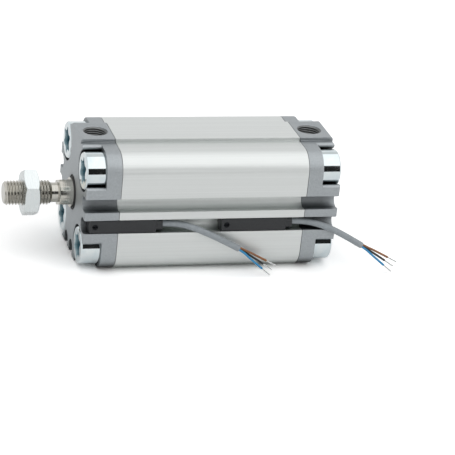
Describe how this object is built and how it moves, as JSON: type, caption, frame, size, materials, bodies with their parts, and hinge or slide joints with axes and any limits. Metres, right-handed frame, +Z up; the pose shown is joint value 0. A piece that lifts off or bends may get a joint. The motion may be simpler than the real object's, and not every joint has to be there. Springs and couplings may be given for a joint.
{
  "type": "compact pneumatic cylinder",
  "caption": "Square-bodied compact air cylinder with a threaded piston rod and lock nut, hollow corner screws, top ports, and position sensors with leads in a side slot.",
  "frame": {"origin": "on the rod's axis, in the plane of the front cap's mounting face", "axes": "+X from the rod end to the rear end, +Z up towards the ports, +Y away from the sensors' side"},
  "size_m": [0.159, 0.0563, 0.0514],
  "materials": {
    "anodised_aluminium": "satin silver anodised extrusion",
    "cap_aluminium": "grey blasted die casting",
    "zinc_steel": "bright zinc plating",
    "rod_steel": "ground and rolled steel",
    "black_rubber": "moulded seal rubber",
    "bush_bronze": "sintered bronze",
    "piston_aluminium": "turned aluminium",
    "bolt_steel": "black steel",
    "plastic_magnet": "bonded ferrite",
    "guide_plastic": "acetal wear ring",
    "sensor_plastic": "black moulded plastic",
    "clamp_steel": "blackened steel",
    "reed_glass": "glass capsule",
    "cable_grey": "grey cable jacket",
    "wire_brown": "brown insulation",
    "wire_black": "black insulation",
    "wire_blue": "blue insulation",
    "tinned_copper": "tinned copper strands"
  },
  "bodies": {
    "cylinder": {"barrel": "anodised_aluminium", "front_cap": "cap_aluminium", "rear_cap": "cap_aluminium", "front_cover_screws": "zinc_steel", "rear_cover_screws": "zinc_steel", "rod_bush": "bush_bronze", "rod_wiper": "black_rubber", "front_barrel_o_ring": "black_rubber", "rear_barrel_o_ring": "black_rubber", "front_bumper": "black_rubber", "rear_bumper": "black_rubber"},
    "piston_rings": {"piston_seal_front": "black_rubber", "piston_seal_rear": "black_rubber", "piston_guide_ring": "guide_plastic"},
    "rod": {"piston_rod": "rod_steel", "piston_front_disc": "piston_aluminium", "piston_rear_disc": "piston_aluminium", "piston_magnet": "plastic_magnet", "piston_o_ring": "black_rubber", "piston_bolt": "bolt_steel"},
    "lock_nut": {"rod_lock_nut": "zinc_steel"},
    "front_sensor": {"front_sensor_body": "sensor_plastic", "front_sensor_reed": "reed_glass", "front_sensor_cable": "cable_grey", "front_wire_brown": "wire_brown", "front_wire_black": "wire_black", "front_wire_blue": "wire_blue", "front_wire_tips": "tinned_copper"},
    "front_clamp": {"front_sensor_screw": "clamp_steel"},
    "rear_sensor": {"rear_sensor_body": "sensor_plastic", "rear_sensor_reed": "reed_glass", "rear_sensor_cable": "cable_grey", "rear_wire_brown": "wire_brown", "rear_wire_black": "wire_black", "rear_wire_blue": "wire_blue", "rear_wire_tips": "tinned_copper"},
    "rear_clamp": {"rear_sensor_screw": "clamp_steel"}
  },
  "joints": [
    {"name": "rod_slide", "type": "slide", "parent": "cylinder", "child": "piston_rings", "axis": [-1, 0, 0], "range_m": [0, 0.06]},
    {"name": "rod_turn", "type": "hinge", "parent": "piston_rings", "child": "rod", "pos_m": [0, 0, 0], "axis": [1, 0, 0], "continuous": true},
    {"name": "nut_turn", "type": "hinge", "parent": "rod", "child": "lock_nut", "pos_m": [-0.0175, 0, 0], "axis": [1, 0, 0], "continuous": true},
    {"name": "front_sensor_slide", "type": "slide", "parent": "cylinder", "child": "front_sensor", "axis": [1, 0, 0], "range_m": [-0.002, 0.004]},
    {"name": "front_clamp_turn", "type": "hinge", "parent": "front_sensor", "child": "front_clamp", "pos_m": [0.0046, -0.022, -0.0045], "axis": [0, 1, 0], "range_deg": [0, 90]},
    {"name": "rear_sensor_slide", "type": "slide", "parent": "cylinder", "child": "rear_sensor", "axis": [1, 0, 0], "range_m": [-0.004, 0.015]},
    {"name": "rear_clamp_turn", "type": "hinge", "parent": "rear_sensor", "child": "rear_clamp", "pos_m": [0.0584, -0.022, -0.0045], "axis": [0, 1, 0], "range_deg": [0, 90]}
  ]
}
